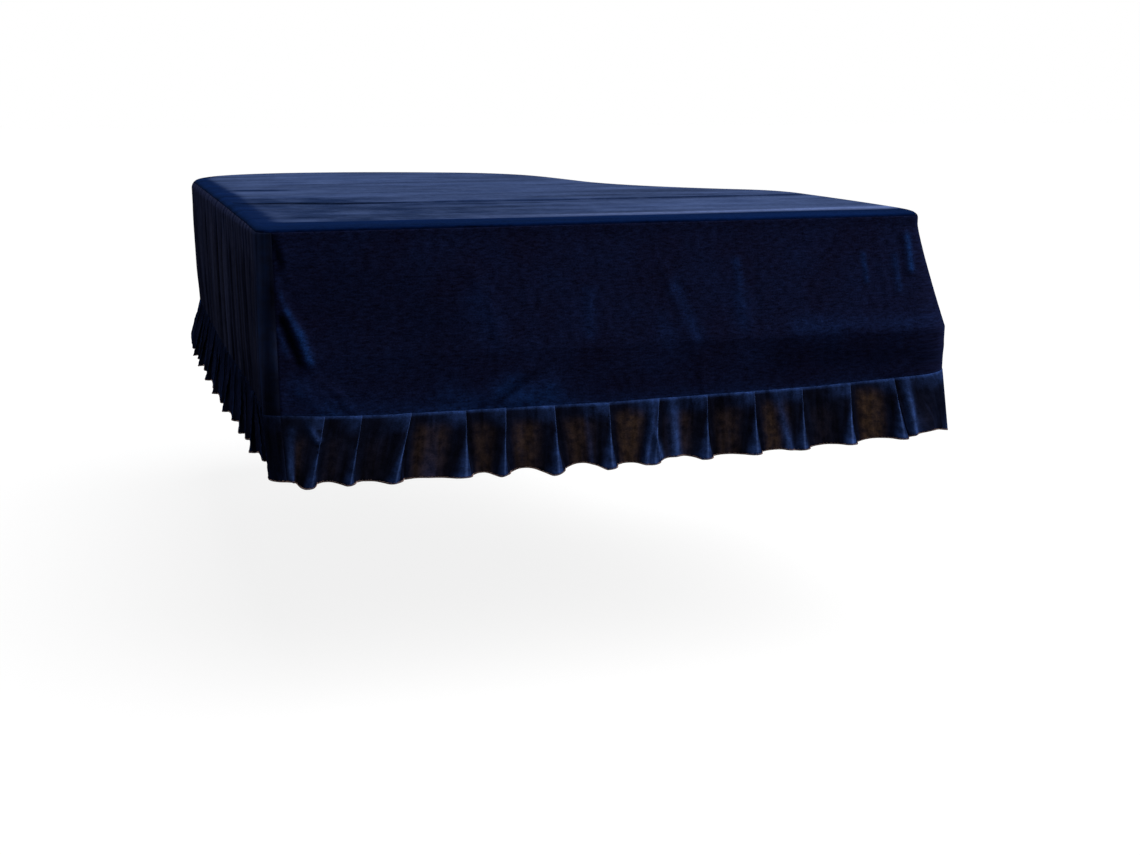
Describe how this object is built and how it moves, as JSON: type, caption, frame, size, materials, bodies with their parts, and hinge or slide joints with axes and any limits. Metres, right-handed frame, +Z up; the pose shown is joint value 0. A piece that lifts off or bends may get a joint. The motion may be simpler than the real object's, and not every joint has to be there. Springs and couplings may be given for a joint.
{
  "type": "grand piano cover",
  "caption": "Fitted navy velvet cover for a grand piano: flat top with a rolled shoulder, hanging skirt and a knife-pleated ruffle at the hem.",
  "frame": {"origin": "on the underside of the top panel, 0.76 m from the straight side and 0.95 m behind the front edge", "axes": "+Z up, +Y from the front to the tail, +X from the straight side to the curved side"},
  "size_m": [1.7171, 2.4189, 0.5399],
  "materials": {
    "velvet": "navy velvet with a blue sheen",
    "ruffle_velvet": "pleated navy velvet, brushed pile",
    "thread": "overlocked hem thread"
  },
  "bodies": {
    "root": {"top_panel": "velvet", "skirt_front": "velvet", "skirt_left": "velvet", "skirt_tail": "velvet", "skirt_right": "velvet", "ruffle_front": "ruffle_velvet", "ruffle_left": "ruffle_velvet", "ruffle_tail": "ruffle_velvet", "ruffle_right": "ruffle_velvet"}
  },
  "joints": []
}
